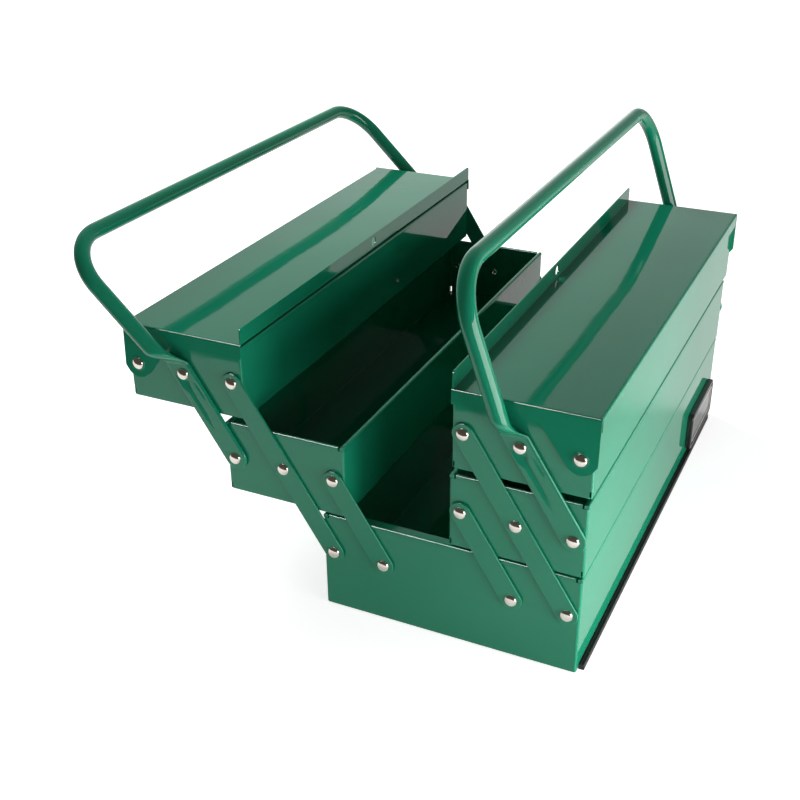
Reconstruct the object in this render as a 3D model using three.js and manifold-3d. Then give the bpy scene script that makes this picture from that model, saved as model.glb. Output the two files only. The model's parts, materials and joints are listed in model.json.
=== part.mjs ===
// Cantilever toolbox: one base box, two middle trays and two lidded upper trays in painted sheet steel.
// Each side hangs on parallel links, so its trays swing out level, and each side has its own bent tube handle.
// Millimetres. +X points to the closed side, +Y runs along the box and +Z is up.
// The origin is the centre of the base's underside. The left side is drawn swung out, the right side shut.

import * as THREE from 'three';
import { mergeVertices } from 'three/addons/utils/BufferGeometryUtils.js';
import Module from 'manifold-3d';

const wasm = await Module();
wasm.setup();

// Box and trays
const BOX_WIDTH = 200;
const BOX_LENGTH = 430;
const BASE_HEIGHT = 81.4;
const TRAY_WIDTH = 99.5;
const SHEET = 1;
const SIDE_RIM = { width: 3.5, height: 3 };
const END_RIM = { width: 2.8, height: 2.8 };
const BASE_END_RIM = { width: 8, height: SHEET };
const RIM_GAP = 1.2; // between an end rim and the side rims
const RELIEF = { width: 1.2, height: 6 }; // corner slot at the foot of an end wall
const CUT_MARGIN = 1; // how far a cutter runs past the sheet

// Linkage: every row of pivots has the same spacing, and every link the same pitch
const PIVOT_SPACING = 41;
const BASE_OUTER_PIVOT_X = 91;
const BASE_PIVOT_Z = 50.3;
const LINK_PITCH = 74.4;
const LEAN_AT_STOP = THREE.MathUtils.degToRad(32.5);
const LINK_WIDTH = 16;
const LINK_THICKNESS = 1.8;
const LAYER_GAP = 0.4; // between a tray's end wall and what is riveted to it
const HOLE_RADIUS = 1.95;
const HOLE_SIDES = 12;

// Where each tray's walls lie from its own pivots
const MID_INNER = -50; // from the pivot it shares with the long link
const MID_BOTTOM = -30.3;
const MID_TOP = 28.35;
const UPPER_INNER = -8.5; // from the long link's top pivot
const UPPER_BOTTOM = -29.4;
const UPPER_TOP = 28.6; // low enough to clear the lid's plate as it swings

// Lid, measured from its pivot
const LID_TOP = 31.5;
const LID_INNER = -91.2;
const LID_OUTER = 11.6;
const LID_SKIRT = 11;
const LID_LAP = LAYER_GAP + SHEET; // how far the lid reaches past the tray's end walls
const LID_CORNER_SLIT = 3.7;
const EAR_RADIUS = 11.2;
const EAR_CORNER_Z = -3;
const EAR_CORNER_ANGLE = THREE.MathUtils.degToRad(-35);
const EAR_TAPER_X = -29.7; // where the ear's slanted edge meets the skirt
const UPSTAND = { height: 12.5, setback: 2, holeRadius: 4, holeZ: 6 };

// Handle: a round tube whose ends are pressed flat to form the outer links
const TUBE_RADIUS = 6.25;
const FLAT_HALF_WIDTH = 9.25;
const FLAT_THICKNESS = 2.8;
const LEG_LEAN = THREE.MathUtils.degToRad(13.4); // from the flat link to the leg
const LEG_OFFSET = -3.1; // the leg's line passes this far from the upper pivot
const LEG_STANDOFF = 13.5; // from the end wall to the tube's centre line
const GRIP_HEIGHT = 125.5; // from the upper pivot to the grip, along the leg
const BEND_RADIUS = 38;
const KNEE_START = 7;
const KNEE_END = 27;
const TUBE_SIDES = 12;

// Rivets
const HEAD_RADIUS = 4.7;
const HEAD_HEIGHT = 2.4;
const SHANK_RADIUS = 1.6;
const TAIL_RADIUS = 3.4;
const TAIL_HEIGHT = 1.2;
const RIVET_GAP = 0.3;
const RIVET_SIDES = 8;

// Black trim on the right long side
const STRIP = { height: 5, depth: 4, start: -209, end: 200 };
const BADGE = { start: 112, end: 200, bottom: 10, top: 46, depth: 5, corner: 6, border: 3, recess: 0.8 };
const TRIM_GAP = 0.3;

const HALF_LENGTH = BOX_LENGTH / 2;
const RISE = LINK_PITCH * Math.cos(LEAN_AT_STOP);
const MID_PIVOT_Z = BASE_PIVOT_Z + RISE;
const UPPER_PIVOT_Z = MID_PIVOT_Z + RISE;

const GREEN = 0x17764f;
const NICKEL = 0xd9d6cd;
const BLACK = 0x161616;

function paint() {
  return new THREE.MeshStandardMaterial({ color: GREEN, roughness: 0.16, metalness: 0.1 });
}

function plating() {
  return new THREE.MeshStandardMaterial({ color: NICKEL, roughness: 0.18, metalness: 1 });
}

function plastic() {
  return new THREE.MeshStandardMaterial({ color: BLACK, roughness: 0.45, metalness: 0 });
}

function solid(geometry) {
  geometry.deleteAttribute('normal');
  geometry.deleteAttribute('uv');
  const merged = mergeVertices(geometry);
  return new wasm.Manifold(new wasm.Mesh({
    numProp: 3,
    vertProperties: merged.attributes.position.array,
    triVerts: new Uint32Array(merged.index.array),
  }));
}

function geometryOf(body) {
  const mesh = body.getMesh();
  const geometry = new THREE.BufferGeometry();
  geometry.setAttribute('position', new THREE.BufferAttribute(mesh.vertProperties, 3));
  geometry.setIndex(new THREE.BufferAttribute(mesh.triVerts, 1));
  geometry.computeVertexNormals();
  return geometry;
}

function union(bodies) {
  return bodies.reduce((whole, body) => whole.add(body));
}

function block(x0, x1, y0, y1, z0, z1) {
  const geometry = new THREE.BoxGeometry(x1 - x0, y1 - y0, z1 - z0);
  geometry.translate((x0 + x1) / 2, (y0 + y1) / 2, (z0 + z1) / 2);
  return solid(geometry);
}

// A flat plate whose outline is drawn in X and Z, between two values of Y.
function plateAlongY(shape, y0, y1) {
  const geometry = new THREE.ExtrudeGeometry(shape, { depth: y1 - y0, bevelEnabled: false, curveSegments: 8 });
  geometry.rotateX(Math.PI / 2);
  geometry.translate(0, y1, 0);
  return solid(geometry);
}

// A cutter for pivot holes, long enough to pass through both ends of the box.
function pivotHole(x, z) {
  const length = BOX_LENGTH + 4 * BEND_RADIUS;
  const geometry = new THREE.CylinderGeometry(HOLE_RADIUS, HOLE_RADIUS, length, HOLE_SIDES);
  geometry.translate(x, 0, z);
  return solid(geometry);
}

// The same geometry for the other side of the box.
function mirrored(geometry) {
  const copy = geometry.clone();
  const position = copy.attributes.position;
  for (let i = 0; i < position.count; i += 1) {
    position.setX(i, -position.getX(i));
  }
  const index = copy.index.array;
  for (let i = 0; i < index.length; i += 3) {
    [index[i], index[i + 1]] = [index[i + 1], index[i]];
  }
  copy.computeVertexNormals();
  return copy;
}

// An open sheet-metal tub with a turned-in rim, pivot holes in its ends and a relief slot at each lower corner.
function tub({ x0, x1, z0, z1, endRim, pivots }) {
  let body = block(x0, x1, -HALF_LENGTH, HALF_LENGTH, z0, z1);
  body = body.subtract(block(
    x0 + SHEET, x1 - SHEET, SHEET - HALF_LENGTH, HALF_LENGTH - SHEET, z0 + SHEET, z1 + CUT_MARGIN,
  ));
  const sideRims = [[x0, x0 + SIDE_RIM.width], [x1 - SIDE_RIM.width, x1]].map(
    ([a, b]) => block(a, b, -HALF_LENGTH, HALF_LENGTH, z1 - SIDE_RIM.height, z1),
  );
  const rimInset = SIDE_RIM.width + RIM_GAP;
  const endRims = [[-HALF_LENGTH, endRim.width - HALF_LENGTH], [HALF_LENGTH - endRim.width, HALF_LENGTH]].map(
    ([a, b]) => block(x0 + rimInset, x1 - rimInset, a, b, z1 - endRim.height, z1),
  );
  body = union([body, ...sideRims, ...endRims]);
  const reliefs = [];
  for (const x of [x0 + SHEET, x1 - SHEET - RELIEF.width]) {
    for (const y of [-HALF_LENGTH - CUT_MARGIN, HALF_LENGTH - SHEET]) {
      reliefs.push(block(x, x + RELIEF.width, y, y + SHEET + CUT_MARGIN, z0 - CUT_MARGIN, z0 + RELIEF.height));
    }
  }
  const holes = pivots.map(([x, z]) => pivotHole(x, z));
  return geometryOf(body.subtract(union([...reliefs, ...holes])));
}

function baseBox() {
  const pivots = [];
  for (const side of [-1, 1]) {
    pivots.push([side * BASE_OUTER_PIVOT_X, BASE_PIVOT_Z]);
    pivots.push([side * (BASE_OUTER_PIVOT_X - PIVOT_SPACING), BASE_PIVOT_Z]);
  }
  return tub({
    x0: -BOX_WIDTH / 2, x1: BOX_WIDTH / 2, z0: 0, z1: BASE_HEIGHT, endRim: BASE_END_RIM, pivots,
  });
}

// Middle tray, from its pivot on the long link, with +X pointing outwards.
function midTray() {
  return tub({
    x0: MID_INNER, x1: MID_INNER + TRAY_WIDTH, z0: MID_BOTTOM, z1: MID_TOP, endRim: END_RIM,
    pivots: [[-PIVOT_SPACING, 0], [0, 0], [PIVOT_SPACING, 0]],
  });
}

// Upper tray, from its pivot at the long link's top, with +X pointing outwards.
function upperTray() {
  return tub({
    x0: UPPER_INNER, x1: UPPER_INNER + TRAY_WIDTH, z0: UPPER_BOTTOM, z1: UPPER_TOP, endRim: END_RIM,
    pivots: [[0, 0], [PIVOT_SPACING, 0], [2 * PIVOT_SPACING, 0]],
  });
}

// The lid's end: a shallow skirt that widens into a rounded ear around the pivot.
function lidEndShape() {
  const taperTop = new THREE.Vector2(EAR_TAPER_X, LID_TOP - LID_SKIRT);
  const tangent = Math.acos(EAR_RADIUS / taperTop.length());
  const taperAngle = taperTop.angle() + tangent;
  const shape = new THREE.Shape();
  shape.moveTo(LID_INNER, LID_TOP);
  shape.lineTo(LID_INNER, taperTop.y);
  shape.lineTo(taperTop.x, taperTop.y);
  shape.absarc(0, 0, EAR_RADIUS, taperAngle, 2 * Math.PI + EAR_CORNER_ANGLE, false);
  shape.lineTo(EAR_RADIUS, EAR_CORNER_Z);
  shape.lineTo(EAR_RADIUS, LID_TOP);
  return shape;
}

// Lid, from its pivot, with +X pointing outwards.
function lid() {
  const end = HALF_LENGTH + LID_LAP;
  const skirtEnd = end - LID_CORNER_SLIT;
  const upstandEnd = end - UPSTAND.setback;
  const plate = block(LID_INNER, LID_OUTER, -end, end, LID_TOP - SHEET, LID_TOP);
  const outerSkirt = block(LID_OUTER - SHEET, LID_OUTER, -skirtEnd, skirtEnd, LID_TOP - LID_SKIRT, LID_TOP);
  const ends = [[-end, SHEET - end], [end - SHEET, end]].map(([a, b]) => plateAlongY(lidEndShape(), a, b));
  const upstand = block(
    LID_INNER, LID_INNER + SHEET, -upstandEnd, upstandEnd, LID_TOP - SHEET, LID_TOP + UPSTAND.height,
  );
  const lockHole = new THREE.CylinderGeometry(UPSTAND.holeRadius, UPSTAND.holeRadius, 4 * SHEET, HOLE_SIDES);
  lockHole.rotateZ(Math.PI / 2);
  lockHole.translate(LID_INNER, 0, LID_TOP + UPSTAND.holeZ);
  const body = union([plate, outerSkirt, ...ends, upstand]);
  return geometryOf(body.subtract(union([solid(lockHole), pivotHole(0, 0)])));
}

// A strip with round ends and a hole at each pivot, standing up from its lowest pivot.
function link(pivotCount) {
  const length = (pivotCount - 1) * LINK_PITCH;
  const radius = LINK_WIDTH / 2;
  const shape = new THREE.Shape();
  shape.absarc(0, 0, radius, Math.PI, 2 * Math.PI, false);
  shape.absarc(0, length, radius, 0, Math.PI, false);
  let body = plateAlongY(shape, -LINK_THICKNESS / 2, LINK_THICKNESS / 2);
  for (let i = 0; i < pivotCount; i += 1) {
    body = body.subtract(pivotHole(0, i * LINK_PITCH));
  }
  return geometryOf(body);
}

// One station of the handle: a point on its centre line, the direction of its width, and its half sizes.
function station(x, y, z, lean, halfWidth, halfThickness) {
  return {
    point: new THREE.Vector3(x, y, z),
    across: new THREE.Vector3(Math.cos(lean), 0, -Math.sin(lean)),
    halfWidth,
    halfThickness,
  };
}

// The far half of the handle, from its lower end to the middle of the bend's end at the grip.
function handleStations() {
  const stations = [];
  const flat = FLAT_THICKNESS / 2;
  const flatY = HALF_LENGTH + LAYER_GAP + flat;
  const legY = HALF_LENGTH + LEG_STANDOFF;
  const along = (distance) => [
    distance * Math.sin(LEG_LEAN) + LEG_OFFSET * Math.cos(LEG_LEAN),
    distance * Math.cos(LEG_LEAN) - LEG_OFFSET * Math.sin(LEG_LEAN),
  ];
  for (const turn of [10, 30, 50, 70, 90]) {
    const angle = THREE.MathUtils.degToRad(turn);
    const z = -LINK_PITCH - FLAT_HALF_WIDTH * Math.cos(angle);
    stations.push(station(0, flatY, z, 0, FLAT_HALF_WIDTH * Math.sin(angle), flat));
  }
  const [kneeX, kneeZ] = along(KNEE_END);
  const knee = new THREE.CubicBezierCurve(
    new THREE.Vector2(0, KNEE_START),
    new THREE.Vector2(0, KNEE_START + (KNEE_END - KNEE_START) / 3),
    new THREE.Vector2(...along(KNEE_END - (KNEE_END - KNEE_START) / 3)),
    new THREE.Vector2(kneeX, kneeZ),
  );
  const kneeSteps = 6;
  for (let i = 0; i <= kneeSteps; i += 1) {
    const share = i / kneeSteps;
    const eased = THREE.MathUtils.smoothstep(share, 0, 1);
    const middle = knee.getPoint(share);
    stations.push(station(
      middle.x,
      THREE.MathUtils.lerp(flatY, legY, eased),
      middle.y,
      LEG_LEAN * eased,
      THREE.MathUtils.lerp(FLAT_HALF_WIDTH, TUBE_RADIUS, eased),
      THREE.MathUtils.lerp(flat, TUBE_RADIUS, eased),
    ));
  }
  const bendSteps = 7;
  for (let i = 0; i <= bendSteps; i += 1) {
    const angle = (i / bendSteps) * (Math.PI / 2);
    const [x, z] = along(GRIP_HEIGHT - BEND_RADIUS + BEND_RADIUS * Math.sin(angle));
    const y = legY - BEND_RADIUS + BEND_RADIUS * Math.cos(angle);
    stations.push(station(x, y, z, LEG_LEAN, TUBE_RADIUS, TUBE_RADIUS));
  }
  return stations;
}

// Joins the stations with rings of the same number of points: flat where thin, round where the halves are equal.
function loft(stations) {
  const positions = [];
  const triangles = [];
  stations.forEach(({ point, across, halfWidth, halfThickness }, i) => {
    const before = stations[Math.max(i - 1, 0)].point;
    const after = stations[Math.min(i + 1, stations.length - 1)].point;
    const ahead = after.clone().sub(before).normalize();
    const through = ahead.clone().cross(across).normalize();
    const corner = Math.min(halfWidth, halfThickness);
    for (let k = 0; k < TUBE_SIDES; k += 1) {
      const angle = ((k + 0.5) / TUBE_SIDES) * 2 * Math.PI;
      const spread = Math.sign(Math.cos(angle)) * (halfWidth - corner) + corner * Math.cos(angle);
      const ringPoint = point.clone();
      ringPoint.addScaledVector(across, spread);
      ringPoint.addScaledVector(through, halfThickness * Math.sin(angle));
      positions.push(...ringPoint.toArray());
    }
  });
  for (let i = 0; i + 1 < stations.length; i += 1) {
    for (let k = 0; k < TUBE_SIDES; k += 1) {
      const next = (k + 1) % TUBE_SIDES;
      const a = i * TUBE_SIDES + k;
      const b = i * TUBE_SIDES + next;
      triangles.push(a, b, b + TUBE_SIDES, a, b + TUBE_SIDES, a + TUBE_SIDES);
    }
  }
  const last = (stations.length - 1) * TUBE_SIDES;
  for (let k = 1; k + 1 < TUBE_SIDES; k += 1) {
    triangles.push(0, k + 1, k, last, last + k, last + k + 1);
  }
  const geometry = new THREE.BufferGeometry();
  geometry.setAttribute('position', new THREE.Float32BufferAttribute(positions, 3));
  geometry.setIndex(triangles);
  return solid(geometry);
}

// Handle, from its upper pivot, with its flat links hanging straight down and +X pointing outwards.
function handle() {
  const farHalf = handleStations();
  const nearHalf = farHalf.map((one) => ({ ...one, point: one.point.clone().setY(-one.point.y) }));
  const body = loft([...farHalf, ...nearHalf.reverse()]);
  return geometryOf(body.subtract(union([pivotHole(0, 0), pivotHole(0, -LINK_PITCH)])));
}

// A dome-headed rivet on the Y axis: its head stands above a stack of the given thickness on the end wall.
function rivet(stack) {
  const headBase = stack + RIVET_GAP;
  const tailBase = -SHEET - RIVET_GAP;
  const profile = [
    [0, tailBase - TAIL_HEIGHT],
    [TAIL_RADIUS, tailBase - TAIL_HEIGHT],
    [TAIL_RADIUS, tailBase],
    [SHANK_RADIUS, tailBase],
    [SHANK_RADIUS, headBase],
    [HEAD_RADIUS, headBase],
    [HEAD_RADIUS * 0.85, headBase + HEAD_HEIGHT * 0.55],
    [HEAD_RADIUS * 0.45, headBase + HEAD_HEIGHT * 0.92],
    [0, headBase + HEAD_HEIGHT],
  ].map(([radius, height]) => new THREE.Vector2(radius, height));
  return geometryOf(solid(new THREE.LatheGeometry(profile, RIVET_SIDES)));
}

// An outline in Y and Z, as a plate between two values of X.
function plateAlongX(shape, x0, x1) {
  const geometry = new THREE.ExtrudeGeometry(shape, { depth: x1 - x0, bevelEnabled: false, curveSegments: 4 });
  geometry.rotateX(Math.PI / 2);
  geometry.rotateZ(Math.PI / 2);
  geometry.translate(x0, 0, 0);
  return solid(geometry);
}

function roundedRectangle(y0, y1, z0, z1, radius) {
  const shape = new THREE.Shape();
  shape.absarc(y1 - radius, z0 + radius, radius, -Math.PI / 2, 0, false);
  shape.absarc(y1 - radius, z1 - radius, radius, 0, Math.PI / 2, false);
  shape.absarc(y0 + radius, z1 - radius, radius, Math.PI / 2, Math.PI, false);
  shape.absarc(y0 + radius, z0 + radius, radius, Math.PI, 1.5 * Math.PI, false);
  return shape;
}

function trimStrip() {
  const face = BOX_WIDTH / 2 + TRIM_GAP;
  return geometryOf(block(face, face + STRIP.depth, STRIP.start, STRIP.end, 0, STRIP.height));
}

// A plain plate with a raised border around a blank field.
function badgePlate() {
  const face = BOX_WIDTH / 2 + TRIM_GAP;
  const { start, end, bottom, top, depth, corner, border, recess } = BADGE;
  const plate = plateAlongX(roundedRectangle(start, end, bottom, top, corner), face, face + depth);
  const field = plateAlongX(
    roundedRectangle(start + border, end - border, bottom + border, top - border, corner - border),
    face + depth - recess,
    face + depth + CUT_MARGIN,
  );
  return geometryOf(plate.subtract(field));
}

const toolbox = new THREE.Group();

function place(name, geometry, material, x, y, z, parent = toolbox) {
  const mesh = new THREE.Mesh(geometry, material);
  mesh.name = name;
  mesh.position.set(x, y, z);
  parent.add(mesh);
  return mesh;
}

// Everything on one side. lean is how far its links lean outwards.
function addSide(label, side, lean) {
  const facing = (geometry) => (side > 0 ? geometry : mirrored(geometry));
  const step = LINK_PITCH * Math.sin(lean);
  const baseX = BASE_OUTER_PIVOT_X;
  const midX = baseX + step;
  const upperX = midX + step;

  place(`mid_tray_${label}`, facing(midTray()), paint(), side * midX, 0, MID_PIVOT_Z);
  place(`upper_tray_${label}`, facing(upperTray()), paint(), side * upperX, 0, UPPER_PIVOT_Z);
  place(`lid_${label}`, facing(lid()), paint(), side * (upperX + 2 * PIVOT_SPACING), 0, UPPER_PIVOT_Z);
  const grip = place(`handle_${label}`, facing(handle()), paint(),
    side * (upperX + PIVOT_SPACING), 0, UPPER_PIVOT_Z);
  grip.rotation.y = side * lean;

  const pivots = [
    { name: 'lid_pivot', x: upperX + 2 * PIVOT_SPACING, z: UPPER_PIVOT_Z, stack: SHEET },
    { name: 'handle_top', x: upperX + PIVOT_SPACING, z: UPPER_PIVOT_Z, stack: FLAT_THICKNESS },
    { name: 'long_link_top', x: upperX, z: UPPER_PIVOT_Z, stack: LINK_THICKNESS },
    { name: 'handle_bottom', x: midX + PIVOT_SPACING, z: MID_PIVOT_Z, stack: FLAT_THICKNESS },
    { name: 'long_link_middle', x: midX, z: MID_PIVOT_Z, stack: LINK_THICKNESS },
    { name: 'short_link_top', x: midX - PIVOT_SPACING, z: MID_PIVOT_Z, stack: LINK_THICKNESS },
    { name: 'long_link_bottom', x: baseX, z: BASE_PIVOT_Z, stack: LINK_THICKNESS },
    { name: 'short_link_bottom', x: baseX - PIVOT_SPACING, z: BASE_PIVOT_Z, stack: LINK_THICKNESS },
  ];
  for (const [end, direction] of [['near', -1], ['far', 1]]) {
    const linkY = direction * (HALF_LENGTH + LAYER_GAP + LINK_THICKNESS / 2);
    const longLink = place(`long_link_${end}_${label}`, link(3), paint(), side * baseX, linkY, BASE_PIVOT_Z);
    longLink.rotation.y = side * lean;
    const shortLink = place(`short_link_${end}_${label}`, link(2), paint(),
      side * (baseX - PIVOT_SPACING), linkY, BASE_PIVOT_Z);
    shortLink.rotation.y = side * lean;
    for (const pivot of pivots) {
      const pin = place(`rivet_${pivot.name}_${end}_${label}`, rivet(LAYER_GAP + pivot.stack), plating(),
        side * pivot.x, direction * HALF_LENGTH, pivot.z);
      pin.rotation.x = direction > 0 ? 0 : Math.PI;
    }
  }
}

place('base_box', baseBox(), paint(), 0, 0, 0);
addSide('left', -1, LEAN_AT_STOP);
addSide('right', 1, -LEAN_AT_STOP);
place('trim_strip', trimStrip(), plastic(), 0, 0, 0);
place('badge_plate', badgePlate(), plastic(), 0, 0, 0);

export default toolbox;
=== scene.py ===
"""The looks of a cantilever toolbox in glossy green sheet steel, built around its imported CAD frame.

Shapes are written in millimetres and become metres when their mesh is made.
"""

import json
import math

import bmesh
import bpy
from mathutils import Matrix, Vector

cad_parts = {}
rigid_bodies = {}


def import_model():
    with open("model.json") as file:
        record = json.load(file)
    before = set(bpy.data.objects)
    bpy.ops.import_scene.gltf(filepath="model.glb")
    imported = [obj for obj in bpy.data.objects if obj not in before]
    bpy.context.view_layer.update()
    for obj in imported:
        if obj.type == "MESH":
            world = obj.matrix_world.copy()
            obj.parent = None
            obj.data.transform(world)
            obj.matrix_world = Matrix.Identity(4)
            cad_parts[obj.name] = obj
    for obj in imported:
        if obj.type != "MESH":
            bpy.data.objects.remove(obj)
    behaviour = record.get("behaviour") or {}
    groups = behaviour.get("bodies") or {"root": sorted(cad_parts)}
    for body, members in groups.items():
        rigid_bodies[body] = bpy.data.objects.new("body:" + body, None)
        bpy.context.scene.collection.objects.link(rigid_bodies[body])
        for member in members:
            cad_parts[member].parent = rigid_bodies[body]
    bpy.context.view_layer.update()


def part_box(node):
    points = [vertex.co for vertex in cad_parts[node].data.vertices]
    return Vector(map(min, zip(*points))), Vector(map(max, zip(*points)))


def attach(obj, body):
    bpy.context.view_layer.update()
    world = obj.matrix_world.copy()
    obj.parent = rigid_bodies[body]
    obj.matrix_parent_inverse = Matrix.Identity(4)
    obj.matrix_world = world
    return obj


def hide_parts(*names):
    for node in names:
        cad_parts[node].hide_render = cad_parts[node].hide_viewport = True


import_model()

MM = 0.001
SIDES = {"left": -1, "right": 1}
ENDS = {"near": -1, "far": 1}

# Sizes that the CAD source also holds, in millimetres
SHEET = 1.0
HALF_LENGTH = 215.0
LAYER_GAP = 0.4
SIDE_HEM = 3.5
END_HEM = 2.8
BASE_END_HEM = 8.0
HEM_HEIGHT = 3.0
HEM_GAP = 1.2
RELIEF_WIDTH = 1.2
RELIEF_HEIGHT = 6.0
LINK_WIDTH = 16.0
LINK_THICKNESS = 1.8
LINK_PITCH = 74.4
LEAN_AT_STOP = math.radians(32.5)
LID_TOP = 31.5
LID_INNER = -91.2
LID_OUTER = 11.6
LID_SKIRT = 11.0
LID_END = HALF_LENGTH + LAYER_GAP + SHEET
LID_CORNER_SLIT = 3.7
UPSTAND_HEIGHT = 12.5
UPSTAND_SETBACK = 2.0
PADLOCK_HOLE_RADIUS = 4.0
PADLOCK_HOLE_Z = LID_TOP + 6.0
EAR_RADIUS = 11.2
EAR_CORNER_Z = -3.0
EAR_CORNER_ANGLE = math.radians(-35)
EAR_TAPER_X = -29.7
FLAT_HALF_WIDTH = 9.25
FLAT_THICKNESS = 2.8
LEG_LEAN = math.radians(13.4)
LEG_OFFSET = -3.1
GRIP_HEIGHT = 125.5
GRIP_BEND = 38.0
HEAD_RADIUS = 4.7
BADGE_CORNER = 6.0
BADGE_RECESS = 0.8

# Finer sizes that only this script has
TUB_CORNER = 1.8
TUB_FOOT = 1.5
TUB_INNER_FOOT = 0.6
TUB_LEAST_CORNER = 0.25
SIDE_HEM_SETBACK = 0.35
LID_BEND = 1.5
LID_BEND_STEPS = 6
EAR_TILT = math.radians(3.0)
EAR_TILT_Z = 15.0  # an ear stands further out than an upright one below this height
TUBE_RADIUS = 6.2
HEAD_HEIGHT = 2.35
HEAD_LIP = 0.5
TRIM_LAP = 0.3  # the trim strip and the badge reach back over their gap to the box

# Along the lid, the bends at its ends start here, and its side skirt stops at the corner slits
LID_BEND_Y = LID_END - UPSTAND_SETBACK
LID_SLIT_Y = LID_END - LID_CORNER_SLIT

# The handles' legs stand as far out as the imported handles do
LEG_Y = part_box("handle_right")[1].y / MM - TUBE_RADIUS

# The camera: angles in radians, lengths in metres and the lens in millimetres
CAMERA = {
    "azimuth": 0.44422,
    "elevation": 0.48657,
    "roll": -0.0098,
    "distance": 1.06604,
    "target": (-0.13828, 0.0, 0.06472),
    "lens": 52.8175,
}

TABLE_EDGE = -548.0
TABLE_REACH = 6000.0
TABLE_DROP = 0.4
TABLE_GLOW = 0.22
TABLE_GLOW_FAR = 0.55


# ---------------------------------------------------------------- camera


def make_camera():
    azimuth, elevation, roll = CAMERA["azimuth"], CAMERA["elevation"], CAMERA["roll"]
    back = Vector((
        math.sin(azimuth) * math.cos(elevation),
        -math.cos(azimuth) * math.cos(elevation),
        math.sin(elevation),
    ))
    level = Vector((0, 0, 1)).cross(back).normalized()
    upright = back.cross(level)
    right = math.cos(roll) * level + math.sin(roll) * upright
    up = math.cos(roll) * upright - math.sin(roll) * level
    data = bpy.data.cameras.new("camera")
    data.sensor_width = 36
    data.lens = CAMERA["lens"]
    data.clip_start, data.clip_end = 0.01, 50
    camera = bpy.data.objects.new("camera", data)
    bpy.context.scene.collection.objects.link(camera)
    place = Matrix.Translation(Vector(CAMERA["target"]) + back * CAMERA["distance"])
    camera.matrix_world = place @ Matrix((right, up, back)).transposed().to_4x4()
    bpy.context.scene.camera = camera


# ---------------------------------------------------------------- materials


def set_stops(color_ramp, stops):
    """Gives a colour ramp its stops, each a position and a colour."""
    while len(color_ramp.elements) < len(stops):
        color_ramp.elements.new(0.5)
    for element, (position, colour) in zip(color_ramp.elements, stops):
        element.position = position
        element.color = (*colour, 1)


class Nodes:
    """A new material's node tree, with short ways to add nodes and links to it."""

    def __init__(self, name):
        self.material = bpy.data.materials.new(name)
        self.material.use_nodes = True
        self.tree = self.material.node_tree
        self.shader = self.tree.nodes["Principled BSDF"]
        self.place = self.add("ShaderNodeTexCoord").outputs["Object"]

    def add(self, kind, **settings):
        node = self.tree.nodes.new(kind)
        for key, value in settings.items():
            setattr(node, key, value)
        return node

    def link(self, source, target):
        self.tree.links.new(source, target)

    def set(self, **values):
        """Sets the shader's sockets, where Coat_Weight stands for Coat Weight."""
        for key, value in values.items():
            self.shader.inputs[key.replace("_", " ")].default_value = value

    def drive(self, **sources):
        """Links sources to the shader's sockets, where Base_Color stands for Base Color."""
        for key, source in sources.items():
            self.link(source, self.shader.inputs[key.replace("_", " ")])

    def noise(self, scale, detail=3.0, roughness=0.5):
        node = self.add("ShaderNodeTexNoise")
        node.inputs["Scale"].default_value = scale
        node.inputs["Detail"].default_value = detail
        node.inputs["Roughness"].default_value = roughness
        self.link(self.place, node.inputs["Vector"])
        return node.outputs["Fac"]

    def ramp(self, source, stops):
        node = self.add("ShaderNodeValToRGB")
        set_stops(node.color_ramp, stops)
        self.link(source, node.inputs["Fac"])
        return node.outputs["Color"]

    def spread(self, source, low, high, start, end):
        """Carries the range from start to end over to the range from low to high."""
        node = self.add("ShaderNodeMapRange")
        node.inputs["From Min"].default_value = start
        node.inputs["From Max"].default_value = end
        node.inputs["To Min"].default_value = low
        node.inputs["To Max"].default_value = high
        self.link(source, node.inputs["Value"])
        return node.outputs["Result"]

    def bump(self, height, distance, strength, under=None):
        node = self.add("ShaderNodeBump")
        node.inputs["Distance"].default_value = distance
        node.inputs["Strength"].default_value = strength
        self.link(height, node.inputs["Height"])
        if under is not None:
            self.link(under, node.inputs["Normal"])
        return node.outputs["Normal"]


def green_paint():
    """Gloss enamel over sheet that is not quite flat: it flows in long waves with a fine orange peel."""
    n = Nodes("green_paint")
    drift = n.noise(7.0, detail=2.0)
    haze = n.noise(34.0, detail=4.0, roughness=0.6)
    sheet_wave = n.bump(n.noise(9.0, detail=1.0, roughness=0.4), 0.0009, 0.35)
    flow = n.bump(n.noise(60.0, detail=1.5, roughness=0.4), 0.00008, 0.5, sheet_wave)
    n.drive(
        Base_Color=n.ramp(drift, [(0.30, (0.0050, 0.158, 0.084)), (0.70, (0.0068, 0.176, 0.096))]),
        Roughness=n.spread(haze, 0.025, 0.065, 0.3, 0.7),
        Normal=n.bump(n.noise(520.0, detail=1.0), 0.0000035, 0.6, flow),
    )
    n.set(IOR=1.5)
    return n.material


def nickel_plate():
    n = Nodes("nickel_plate")
    tone = n.noise(260.0, detail=3.0)
    n.drive(
        Base_Color=n.ramp(tone, [(0.3, (0.82, 0.77, 0.69)), (0.7, (0.91, 0.87, 0.80))]),
        Roughness=n.spread(n.noise(900.0, detail=2.0), 0.07, 0.17, 0.3, 0.7),
        Normal=n.bump(n.noise(700.0, detail=2.0), 0.00003, 0.25),
    )
    n.set(Metallic=1.0)
    return n.material


def black_plastic():
    n = Nodes("black_plastic")
    tone = n.noise(120.0, detail=4.0)
    grain = n.noise(2600.0, detail=2.0)
    n.drive(
        Base_Color=n.ramp(tone, [(0.3, (0.010, 0.010, 0.010)), (0.7, (0.020, 0.019, 0.018))]),
        Roughness=n.spread(grain, 0.36, 0.52, 0.3, 0.7),
        Normal=n.bump(grain, 0.00004, 0.35),
    )
    n.set(IOR=1.47)
    return n.material


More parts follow.
